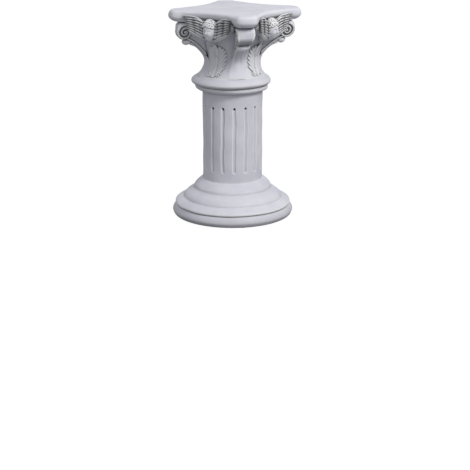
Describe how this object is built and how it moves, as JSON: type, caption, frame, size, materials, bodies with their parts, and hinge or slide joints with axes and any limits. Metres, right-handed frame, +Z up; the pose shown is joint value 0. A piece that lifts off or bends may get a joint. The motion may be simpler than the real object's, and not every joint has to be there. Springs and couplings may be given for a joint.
{
  "type": "pedestal column stand",
  "caption": "White cast column pedestal: round stepped base, fluted shaft, and a capital with corner scrolls, leaves and winged cherub heads under a hollow-sided square top.",
  "frame": {"origin": "centre of the underside, on the plane that the felt pads rest on", "axes": "+Z up along the column's axis; X and Y square to the four hollow sides of the top; front is -Y, and the picture is taken from between -Y and +X"},
  "size_m": [0.1776, 0.1776, 0.3],
  "materials": {
    "casting": "matt white cast plaster, lightly worn",
    "steel": "zinc plated",
    "dowel": "bare beech",
    "felt": "pressed felt"
  },
  "bodies": {
    "root": {"plinth": "casting", "base_moulding": "casting", "shaft": "casting", "neck_fillet": "casting", "neck_torus": "casting", "bell": "casting", "abacus": "casting", "scroll_front_right": "casting", "scroll_front_left": "casting", "scroll_rear_right": "casting", "scroll_rear_left": "casting", "corner_leaf_front_right": "casting", "corner_leaf_front_left": "casting", "corner_leaf_rear_right": "casting", "corner_leaf_rear_left": "casting", "cherub_front": "casting", "cherub_right": "casting", "cherub_rear": "casting", "cherub_left": "casting", "face_leaf_front": "casting", "face_leaf_right": "casting", "face_leaf_rear": "casting", "face_leaf_left": "casting", "tie_rod": "steel", "lower_washer": "steel", "spring_washer": "steel", "lower_nut": "steel", "upper_washer": "steel", "upper_nut": "steel", "abacus_dowel_1": "dowel", "abacus_dowel_2": "dowel", "abacus_dowel_3": "dowel", "abacus_dowel_4": "dowel", "felt_pad_1": "felt", "felt_pad_2": "felt", "felt_pad_3": "felt", "felt_pad_4": "felt"}
  },
  "joints": []
}
